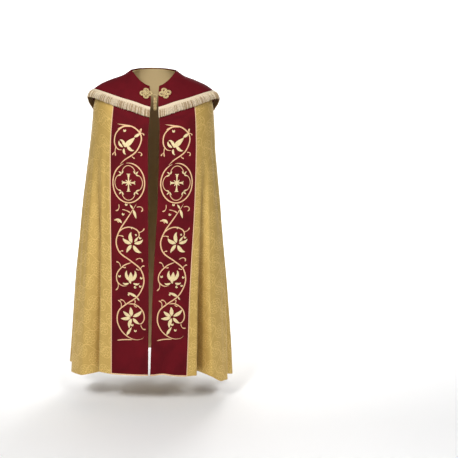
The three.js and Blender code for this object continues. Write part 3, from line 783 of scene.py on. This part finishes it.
# place, heading, length, width and turn of each leaf; headings are in degrees, up is 90
LEAVES = [
    (62, -325, 40, 62, 25, 0.02), (66, -323, 100, 40, 14, 0.30), (60, -325, 150, 36, 12, -0.28),
    (76, -313, -60, 42, 15, 0.25), (64, -329, -100, 30, 11, 0.30), (108, -279, 30, 34, 14, 0.04),
    (98, -761, 112, 50, 19, -0.20), (96, -763, 165, 46, 18, -0.18), (96, -767, 232, 42, 17, 0.06),
    (102, -769, -62, 50, 19, 0.22), (106, -761, 2, 44, 16, 0.24), (108, -755, 50, 26, 11, 0.05),
    (86, -939, 128, 52, 16, -0.24), (94, -939, 52, 52, 16, 0.24), (90, -943, 90, 44, 22, 0.0),
    (82, -947, 205, 30, 11, -0.3), (100, -947, -25, 30, 11, 0.3), (90, -951, 110, 30, 12, -0.1),
    (92, -1106, 92, 42, 20, 0.04), (90, -1108, 150, 42, 17, -0.08), (90, -1112, 190, 44, 18, -0.06),
    (94, -1114, 244, 46, 18, 0.14), (98, -1112, -50, 40, 16, 0.10), (98, -1106, 22, 50, 18, 0.16),
    (104, -604, -70, 42, 13, -0.02), (104, -604, 120, 24, 9, 0.05), (118, -1013, 150, 44, 13, 0.03),
    (118, -1013, -60, 18, 7, 0.05), (70, -1197, 62, 44, 14, -0.03), (52, -670, 128, 34, 13, 0.25),
]
# place, heading, length and turn of each small tendril
TENDRILS = [
    (126, -347, 10, 34, -0.62), (60, -230, 200, 34, 0.10), (134, -261, 60, 24, 0.2),
    (134, -261, 100, 22, -0.25), (134, -261, 5, 24, -0.3), (24, -323, 262, 44, 0.08),
    (24, -345, 215, 24, 0.12), (100, -364, -55, 18, 0.2), (38, -581, -78, 44, -0.35),
    (118, -596, 20, 52, -0.62), (52, -606, -10, 44, -0.1), (38, -670, 120, 30, 0.3),
    (126, -711, 12, 38, 0.22), (28, -729, 10, 34, -0.15), (40, -807, 62, 22, -0.35),
    (112, -840, 40, 50, -0.55), (44, -874, 100, 38, 0.3), (134, -882, 70, 30, -0.3),
    (50, -870, -40, 20, 0.3), (28, -939, -75, 50, -0.25), (132, -884, 190, 20, -0.3),
    (66, -1049, 110, 40, 0.3), (104, -1046, 50, 22, 0.3), (136, -1142, -80, 40, 0.35),
    (104, -1050, -60, 18, 0.3), (44, -1064, 80, 44, 0.32),
]
HEARTS = [
    (64, -257, 90, 14), (72, -590, 80, 13), (56, -634, 70, 13), (132, -741, 60, 12), (38, -922, 95, 13),
    (136, -928, 70, 13), (104, -969, 30, 13), (76, -997, -40, 13), (132, -967, 80, 12),
    (96, -1152, 90, 14), (110, -1179, 80, 13), (96, -686, -60, 11), (120, -721, 200, 10),
]
MEDALLION = (84, -485)
MEDALLION_WIDE = 73
MEDALLION_HIGH = 90
LOBE, LOBE_OUT, LOBE_STEM = 0.42, 0.45, 0.0042
RING_WIDE, VINE_WIDE, BRANCH_WIDE = 0.0068, 0.0072, 0.0064
LEAF_FULLER, LEAF_WIDER = 1.12, 1.15


def to_m(points):
    return [(u / 1000, v / 1000) for u, v in points]


def ellipse(centre, wide, high, first, last, count):
    turn = np.radians(np.linspace(first, last, count))
    return [(centre[0] + wide * math.cos(t), centre[1] + high * math.sin(t)) for t in turn]


def embroider_cross(bm, centre, high, place):
    """A plain cross with flared ends and a small leaf between its arms."""
    middle = np.array(centre) + (0, 0.06 * high)
    for turn, reach in ((90, 0.5), (270, 0.5), (0, 0.36), (180, 0.36)):
        way = np.array([math.cos(math.radians(turn)), math.sin(math.radians(turn))])
        line = smooth_line([middle + way * share * high for share in (-0.02, reach * 0.5, reach)])
        stitched(bm, line, scaled(CROSS_ARM, 0.15 * high), place, GOLD)
        for lean in (-1, 1):
            tip = middle + way * reach * 0.86 * high
            leaf(bm, tip, turn + lean * 62, 0.13 * high, 0.06 * high, lean * 0.18, place)
    for turn in (45, 135, 225, 315):
        leaf(bm, middle, turn, 0.24 * high, 0.075 * high, 0.06, place)


def around_medallion(turn, reach):
    """A place in metres at a turn round the medallion, at a share of the way out to its ring."""
    turn = math.radians(turn)
    u = MEDALLION[0] + reach * MEDALLION_WIDE * math.cos(turn)
    return u / 1000, (MEDALLION[1] + reach * MEDALLION_HIGH * math.sin(turn)) / 1000


def embroider_band(bm, place):
    for lines, wide in (((VINE_TOP, VINE_LOW), VINE_WIDE), (BRANCHES, BRANCH_WIDE)):
        for points in lines:
            stitched(bm, smooth_line(to_m(points)), scaled(STEM, wide), place, PEACH)
    for u, v, degrees, long, wide, turns in LEAVES:
        size = LEAF_FULLER * long / 1000, LEAF_WIDER * wide / 1000
        leaf(bm, (u / 1000, v / 1000), degrees, *size, turns, place)
    for u, v, degrees, long, turns in TENDRILS:
        tendril(bm, (u / 1000, v / 1000), degrees, long / 1000, turns, place)
    for u, v, degrees, size in HEARTS:
        heart(bm, (u / 1000, v / 1000), degrees, size / 1000, place)
    outer = ellipse(MEDALLION, MEDALLION_WIDE, MEDALLION_HIGH, 100, 466, 90)
    stitched(bm, np.array(to_m(outer)), scaled(RING, RING_WIDE), place, PEACH)
    for out in (0, 90, 180, 270):
        centre = [1000 * x for x in around_medallion(out, LOBE_OUT)]
        arc = ellipse(centre, LOBE * MEDALLION_WIDE, LOBE * MEDALLION_HIGH, out - 88, out + 88, 40)
        stitched(bm, np.array(to_m(arc)), scaled(STEM, LOBE_STEM), place, PEACH)
        for lean in (-75, 0, 75):
            spot = around_medallion(out + 45, 0.62)
            leaf(bm, spot, out + 45 + lean, 0.019, 0.008, 0.05, place)
    cross_middle = (MEDALLION[0] / 1000, MEDALLION[1] / 1000 - 0.004)
    embroider_cross(bm, cross_middle, 0.085, place)


def band_place(side):
    """Where a point of a band lies, by metres across from its left edge as seen and by height."""
    part = front_slice(side, 0, EDGE)
    grid = body[:, part]
    face = body_facing[:, part]

    def place(points):
        column = (1 - np.clip(points[:, 0] / BAND_WIDE, 0, 1)) * EDGE
        spots = np.zeros((len(points), 3))
        facing = np.zeros((len(points), 3))
        for n, (x, (_, z)) in enumerate(zip(column, points)):
            j = min(int(x), EDGE - 1)
            for k, share in ((j, 1 - (x - j)), (j + 1, x - j)):
                rows = np.arange(len(grid))
                row = np.interp(-z, -grid[:, k, 2], rows)
                i = min(int(row), len(grid) - 2)
                spots[n] += share * (grid[i, k] + (grid[i + 1, k] - grid[i, k]) * (row - i))
                facing[n] += share * face[i, k]
        facing = unit(facing)
        return spots + facing * (SEAM_GAP + VELVET_WALL), facing

    return place


THREAD_WIDE = 0.0009


def make_thread(name, low, high):
    """Glossy rayon satin stitch: fine threads lie across the ribbon, with slightly uneven light."""
    finish, tree, shader = new_material(name, high[:3], 0.38)
    place = node(tree, "ShaderNodeUVMap", uv_map="stitch").outputs[0]
    split = node(tree, "ShaderNodeSeparateXYZ", {0: place})
    slanted = maths(tree, "MULTIPLY_ADD", split.outputs["Y"], 0.35, split.outputs["X"])
    thread = maths(tree, "SINE", maths(tree, "MULTIPLY", slanted, 2 * math.pi / THREAD_WIDE))
    thread = maths(tree, "MULTIPLY_ADD", thread, 0.5, 0.5)
    patch = node(tree, "ShaderNodeTexNoise", {"Vector": place, "Scale": 90.0, "Detail": 2.0})
    tone = maths(tree, "MULTIPLY_ADD", thread, 0.45, maths(tree, "MULTIPLY", patch.outputs[0], 0.6))
    finish_with(tree, shader, blend_colour(tree, tone, low, high), thread, 0.5, 0.0003)
    shader.inputs["Sheen Weight"].default_value = 0.3
    return finish


peach_thread = make_thread("peach_thread", (0.50, 0.27, 0.10, 1), (0.90, 0.60, 0.34, 1))
gold_thread = make_thread("pale_gold_thread", (0.46, 0.33, 0.12, 1), (0.92, 0.78, 0.46, 1))


def finish_embroidery(name, bm):
    bmesh.ops.recalc_face_normals(bm, faces=bm.faces)
    piece = piece_of(name, bm, peach_thread, gold_thread)
    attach(piece, "root")


for side in ("left", "right"):
    bm = bmesh.new()
    embroider_band(bm, band_place(side))
    finish_embroidery(f"band_embroidery_{side}", bm)

# ---------------------------------------------------------------- hood
# A cape-shaped hood of the same velvet over the shoulders, sewn in at the neck, running down to a point in
# the middle of the back.
HOOD_EDGE_AROUND = np.array([0, 0.12, 0.25, 0.38, 0.5, 0.62, 0.74, 0.86, 1])
HOOD_EDGE_RING = np.array([3, 2.72, 2.9, 3.25, 3.9, 5.1, 6.5, 7.55, 8.5])
STAND_MOST, STAND_AROUND, STAND_SPREAD = 0.024, 0.42, 0.13
HOOD_RISE = 0.0068
HOOD_WALL = 0.0025
HOOD_OUT = HOOD_RISE + HOOD_WALL
HEADING_WIDE = 0.018
HEADING_PAST = 0.003  # the heading's lower edge hangs this far past the hood's
HOOD_COLUMNS = 90
HOOD_ROWS = 60
shares = np.concatenate([np.linspace(0, 1, HOOD_COLUMNS + 1), np.linspace(1, 0, HOOD_COLUMNS + 1)[1:]])
sides = ["left"] * (HOOD_COLUMNS + 1) + ["right"] * HOOD_COLUMNS
MESH_RINGS = np.arange(0, 10.01, 0.1)
smooth_table = {}
for side in ("left", "right"):
    smooth = []
    for ring in MESH_RINGS:
        points, run = half_ring(side, ring)
        smooth.append(read_path(points, run, np.linspace(0, 1, HOOD_COLUMNS + 1) * run[-1]))
    smooth_table[side] = np.array(smooth)


def on_curve(x, xs, ys):
    """A table read on a curve whose slope carries through each row."""
    i = np.clip(np.searchsorted(xs, x, side="right"), 1, len(xs) - 1)
    k = np.clip((x - xs[i - 1]) / (xs[i] - xs[i - 1]), 0, 1)
    before = np.maximum(np.arange(len(xs)) - 1, 0)
    after = np.minimum(np.arange(len(xs)) + 1, len(xs) - 1)
    slope = (ys[after] - ys[before]) / (xs[after] - xs[before])
    bend = k * (1 - k) * (xs[i] - xs[i - 1]) * ((1 - k) * slope[i - 1] - k * slope[i])
    return ys[i - 1] + (ys[i] - ys[i - 1]) * k * k * (3 - 2 * k) + bend


half_shares = np.linspace(0, 1, HOOD_COLUMNS + 1)
half_edge = on_curve(half_shares, HOOD_EDGE_AROUND, HOOD_EDGE_RING)
for side in ("left", "right"):
    near = np.exp(-(((half_shares - STAND_AROUND) / STAND_SPREAD) ** 2))
    down = MESH_RINGS[:, None] / half_edge[None, :]
    smooth_table[side][:, :, 0] += SIGN[side] * STAND_MOST * near[None, :] * down**2


def smooth_column(column):
    side = sides[column]
    j = column if column <= HOOD_COLUMNS else 2 * HOOD_COLUMNS - column
    return smooth_table[side][:, j]


def down_column(column, ring, length):
    """The ring place a length below a ring place, down one column of the unfolded surface."""
    line = smooth_column(column)
    run = run_along(line)
    return np.interp(np.interp(ring, MESH_RINGS, run) + length, run, MESH_RINGS)


def column_points(column, rings):
    return read_path(smooth_column(column), MESH_RINGS, rings)


def edge_slope(share):
    k = min(max((share - 0.6) / 0.2, 0), 1)
    return 1 + 0.25 * k * k * (3 - 2 * k)


edge_rings = on_curve(shares, HOOD_EDGE_AROUND, HOOD_EDGE_RING)
hood_columns = []
for j, (share, ring) in enumerate(zip(shares, edge_rings)):
    low = down_column(j, ring, (HEADING_WIDE - HEADING_PAST) * edge_slope(share))
    hood_columns.append(column_points(j, np.linspace(0, low, HOOD_ROWS + 1)))
hood = np.array(hood_columns).transpose(1, 0, 2)
hood += facing_of(hood) * HOOD_OUT
hood_flat = np.zeros((*hood.shape[:2], 2))
hood_flat[:, :, 0] = np.linspace(-0.6, 0.6, len(shares))[None, :]
for j in range(len(shares)):
    hood_flat[:, j, 1] = run_along(hood[:, j])
hood_piece = sheet_mesh("hood_velvet", hood, hood_flat, (velvet,), HOOD_WALL)
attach(hood_piece, "root")
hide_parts("hood")

# ---------------------------------------------------------------- hood embroidery
# One large cross with scrolling flourishes in padded satin stitch, in the middle of the hood's back.
hood_runs = {side: [run_along(row)[-1] for row in table] for side, table in smooth_table.items()}
centre_line = smooth_table["left"][:, -1]
centre_run = run_along(centre_line)


FACING_ACROSS = 0.45  # the back is flatter than a circle round the neck


def hood_place(points):
    """Where a point of the hood's back lies, by metres across from the middle and down from the neck."""
    spots = np.zeros((len(points), 3))
    for n, (u, down) in enumerate(points):
        side = "right" if u < 0 else "left"
        row = np.interp(-down, centre_run, np.arange(len(centre_run)))
        i = min(int(row), len(centre_run) - 2)
        half = np.interp(row, np.arange(len(centre_run)), hood_runs[side])
        column = (1 - abs(u) / half) * HOOD_COLUMNS
        j = min(int(column), HOOD_COLUMNS - 1)
        table = smooth_table[side]
        a = table[i, j] + (table[i, j + 1] - table[i, j]) * (column - j)
        b = table[i + 1, j] + (table[i + 1, j + 1] - table[i + 1, j]) * (column - j)
        spots[n] = a + (b - a) * (row - i)
    facing = unit(spots * (FACING_ACROSS, 1, 0))
    return spots + facing * HOOD_OUT, facing


CROSS = (0, -0.275)
CROSS_HIGH = 0.235
FLOURISH_WIDE, FLOURISH_HIGH = 0.013, 0.0014
FLOURISHES = [
    [(0, -430), (46, -418), (84, -384), (92, -340), (70, -312), (44, -322), (46, -346), (62, -348)],
    [(0, -128), (36, -142), (74, -176), (84, -214), (66, -240), (44, -230), (46, -210), (60, -208)],
]
FLOURISH_LEAVES = [
    (78, -392, -20, 44, 17, 0.16), (60, -408, -60, 36, 14, 0.2), (88, -352, 40, 36, 14, -0.15),
    (66, -166, 40, 38, 15, -0.16), (82, -206, -30, 38, 15, 0.15), (40, -144, 70, 30, 12, -0.2),
]
bm = bmesh.new()
embroider_cross(bm, CROSS, CROSS_HIGH, hood_place)
for mirror in (1, -1):
    for points in FLOURISHES:
        line = smooth_line([(mirror * u / 1000, v / 1000) for u, v in points])
        stitched(bm, line, scaled(FLOURISH, FLOURISH_WIDE), hood_place, GOLD, FLOURISH_HIGH)
    for u, v, degrees, long, wide, turns in FLOURISH_LEAVES:
        heading = degrees if mirror == 1 else 180 - degrees
        leaf(bm, (mirror * u / 1000, v / 1000), heading, long / 1000, wide / 1000, mirror * turns, hood_place)
finish_embroidery("hood_embroidery", bm)

# ---------------------------------------------------------------- fringe
# Pale woven heading sewn over the hood's lower edge, with twisted bullion strands hanging from it, and a
# layer of dark brown strands behind them as painted shade in the gaps.
HEADING_IN = HOOD_OUT + 0.0017
HEADING_WALL = 0.002
HEADING_LONG = 0.8
STRANDS_LONG = 0.033


def make_braid():
    finish, tree, shader = new_material("woven_heading", (0.74, 0.64, 0.48), 0.6)
    place = node(tree, "ShaderNodeUVMap", uv_map="flat").outputs[0]
    weave = node(tree, "ShaderNodeTexChecker", {"Vector": place, "Scale": 700.0})
    patch = node(tree, "ShaderNodeTexNoise", {"Vector": place, "Scale": 300.0})
    tone = maths(tree, "MULTIPLY", patch.outputs[0], 0.6)
    tone = maths(tree, "MULTIPLY_ADD", weave.outputs["Fac"], 0.35, tone)
    colour = blend_colour(tree, tone, (0.42, 0.30, 0.17, 1), (0.92, 0.80, 0.60, 1))
    finish_with(tree, shader, colour, tone, 0.5, 0.0005)
    return finish


def make_bullion(name, low, high):
    finish, tree, shader = new_material(name, high[:3], 0.5)
    place = node(tree, "ShaderNodeTexCoord").outputs["Object"]
    patch = node(tree, "ShaderNodeTexNoise", {"Vector": place, "Scale": 420.0, "Detail": 2.0})
    finish_with(tree, shader, blend_colour(tree, patch.outputs[0], low, high), patch.outputs[0], 0.5, 0.0005)
    shader.inputs["Metallic"].default_value = 0.15
    return finish


braid = make_braid()
bullion = [
    make_bullion("bullion_cream", (0.50, 0.36, 0.20, 1), (1.0, 0.90, 0.70, 1)),
    make_bullion("bullion_tan", (0.22, 0.12, 0.05, 1), (0.74, 0.56, 0.34, 1)),
    # dark brown for the back layer: painted shade in the gaps between the front strands
    make_bullion("bullion_shade_brown", (0.09, 0.04, 0.015, 1), (0.30, 0.18, 0.08, 1)),
]
HEADING_ROWS = 6
heading_columns = []
for j, (share, ring) in enumerate(zip(shares, edge_rings)):
    steps = np.linspace(0, 1, HEADING_ROWS + 1) * HEADING_WIDE * edge_slope(share)
    heading_columns.append(column_points(j, down_column(j, ring, steps)))
heading = np.array(heading_columns).transpose(1, 0, 2)
heading_facing = facing_of(heading)
half_parts = {"left": slice(0, HOOD_COLUMNS + 1), "right": slice(HOOD_COLUMNS, None)}
heading_flat = np.zeros((*heading.shape[:2], 2))
heading_flat[:, :, 0] = np.linspace(0, 2 * HEADING_LONG, len(shares))[None, :]
heading_flat[:, :, 1] = np.linspace(0, HEADING_WIDE, HEADING_ROWS + 1)[:, None]
for side in ("left", "right"):
    part = half_parts[side]
    grid = heading[:, part] + heading_facing[:, part] * (HEADING_IN + HEADING_WALL)
    flat = heading_flat[:, part]
    piece = sheet_mesh(f"fringe_heading_{side}_braid", grid, flat, (braid,), HEADING_WALL)
    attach(piece, "root")
    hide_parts(f"fringe_heading_{side}")

STRAND_RADIUS = 0.0015
STRAND_PITCH = 0.0040
STRAND_RINGS = 9
STRAND_FACETS = 6
STRAND_SWAY = 0.0015
TWIST_DEEP, TWIST_TURN = 0.2, 9.0
LOOP_FROM, LOOP_SWELL = 0.8, 0.35
HEADING_SHOWS = 0.6  # share of the heading that the strands leave in sight
SEWN_FROM, SEWN_TO = 2, 4  # the heading's rows on either side of that line
# The second layer hangs behind the first, all in dark brown: painted shade showing between the front strands.
LAYERS = ((0.0010, 0.0, 1.0), (-0.0012, 0.5, 0.93))  # each layer's way out, shift along and length
CREAM, TAN, SHADE_BROWN = 0, 1, 2
rng = random.Random(11)


def strand(bm, top, slope, facing, along, long, finish):
    """One hanging twisted strand: a rolled grid, waisted along its twist, with a small loop at its end."""
    sway = rng.uniform(-STRAND_SWAY, STRAND_SWAY)
    spin = rng.uniform(0, math.pi)
    made = bmesh.ops.create_grid(bm, x_segments=STRAND_FACETS, y_segments=STRAND_RINGS - 1, size=0.5)
    for v in made["verts"]:
        k = min(max(0.5 - v.co.y, 0), 1)
        a = (v.co.x + 0.5) * 2 * math.pi
        end = 1.0 + LOOP_SWELL * max(0, k - LOOP_FROM) / (1 - LOOP_FROM)
        if k < 0.001 or k > 0.999:
            end = 0.0
        r = end * STRAND_RADIUS * (1.0 + TWIST_DEEP * math.cos(2 * (a + spin + k * TWIST_TURN)))
        centre = top + slope * (k * long * (1 - 0.5 * k)) + np.array([0, 0, -1]) * (long * 0.5 * k * k)
        centre = centre + along * sway * k * k
        v.co = centre + along * (r * math.cos(a)) + facing * (r * math.sin(a))
    for face in {f for v in made["verts"] for f in v.link_faces}:
        face.material_index = finish
    bmesh.ops.remove_doubles(bm, verts=made["verts"], dist=1e-5)


for side in ("left", "right"):
    part = half_parts[side]
    start = heading[SEWN_FROM, part]
    past = (HEADING_SHOWS * HEADING_ROWS - SEWN_FROM) / (SEWN_TO - SEWN_FROM)
    start = start + (heading[SEWN_TO, part] - start) * past
    before = heading[0, part]
    lift = heading_facing[SEWN_TO, part]
    run = run_along(start)
    bm = bmesh.new()
    for layer, (out, shift, shorter) in enumerate(LAYERS):
        for s in np.arange(STRAND_PITCH * (0.5 + shift), run[-1], STRAND_PITCH):
            top = read_path(start, run, s)
            facing = read_path(lift, run, s)
            slope = unit(top - read_path(before, run, s))
            along = np.cross(facing, slope)
            share = np.interp(s, run, shares[part])
            long = STRANDS_LONG + (1 - HEADING_SHOWS) * HEADING_WIDE
            long *= edge_slope(share) * rng.uniform(0.96, 1.03) * shorter
            # Back-layer strands take the dark brown: painted shade in the gaps between the front strands.
            finish = SHADE_BROWN if layer else rng.choice((CREAM, CREAM, TAN))
            top = top + facing * (HEADING_IN + HEADING_WALL + out)
            strand(bm, top, slope, facing, along, long, finish)
    for face in bm.faces:
        face.smooth = True
    bmesh.ops.recalc_face_normals(bm, faces=bm.faces)
    piece = piece_of(f"fringe_strands_{side}_bullion", bm, *bullion)
    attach(piece, "root")
    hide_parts(f"fringe_strands_{side}")

# ---------------------------------------------------------------- clasp and chain
# Two gilt openwork quatrefoil plates joined by a ring, with a slack chain of oval links below it.
gilt, tree, shader = new_material("gilt_brass", (0.70, 0.46, 0.16), 0.32)
place = node(tree, "ShaderNodeTexCoord").outputs["Object"]
worn = node(tree, "ShaderNodeTexNoise", {"Vector": place, "Scale": 260.0, "Detail": 3.0})
spread = maths(tree, "MULTIPLY_ADD", worn.outputs[0], 3.2, -1.05)
spread = node(tree, "ShaderNodeClamp", {0: spread}).outputs[0]
colour = blend_colour(tree, spread, (0.42, 0.24, 0.07, 1), (1.0, 0.82, 0.44, 1))
finish_with(tree, shader, colour, worn.outputs[0], 0.6, 0.0008)
shader.inputs["Metallic"].default_value = 0.4
BEAD_STEP = 0.48  # bead centres, as a share of the plate's half height
BEAD_RADIUS = 0.0034
BEAD_DOME, BEAD_SUNK = 0.6, 0.3
for name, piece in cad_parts.items():
    if name in ("clasp_left", "clasp_right"):
        spots = np.array([v.co for v in piece.data.vertices])
        centre = (spots.min(axis=0) + spots.max(axis=0)) / 2
        out = np.linalg.svd(spots - centre, full_matrices=False)[2][2]
        out *= -np.sign(out[1])
        across = unit(np.cross(out, (0, 0, -1)))
        up = np.cross(across, out)
        up *= np.sign(up[2])
        half = np.abs((spots - centre) @ up).max()
        proud = ((spots - centre) @ out).max()
        bm = bmesh.new()
        for a, b in ((0, 0), (1, 0), (-1, 0), (0, 1), (0, -1)):
            spot = centre + (across * a + up * b) * half * BEAD_STEP + out * (proud - BEAD_RADIUS * BEAD_SUNK)
            turn = Matrix((across, up, out)).transposed().to_4x4()
            shape = Matrix.Translation(spot) @ turn @ Matrix.Diagonal((1, 1, BEAD_DOME, 1))
            bmesh.ops.create_icosphere(bm, subdivisions=2, radius=BEAD_RADIUS, matrix=shape)
        for face in bm.faces:
            face.smooth = True
        bmesh.ops.recalc_face_normals(bm, faces=bm.faces)
        beads = piece_of(f"{name}_beads", bm, gilt)
        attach(beads, "root")
    if name.startswith(("clasp", "chain")):
        piece.data.materials.clear()
        piece.data.materials.append(gilt)
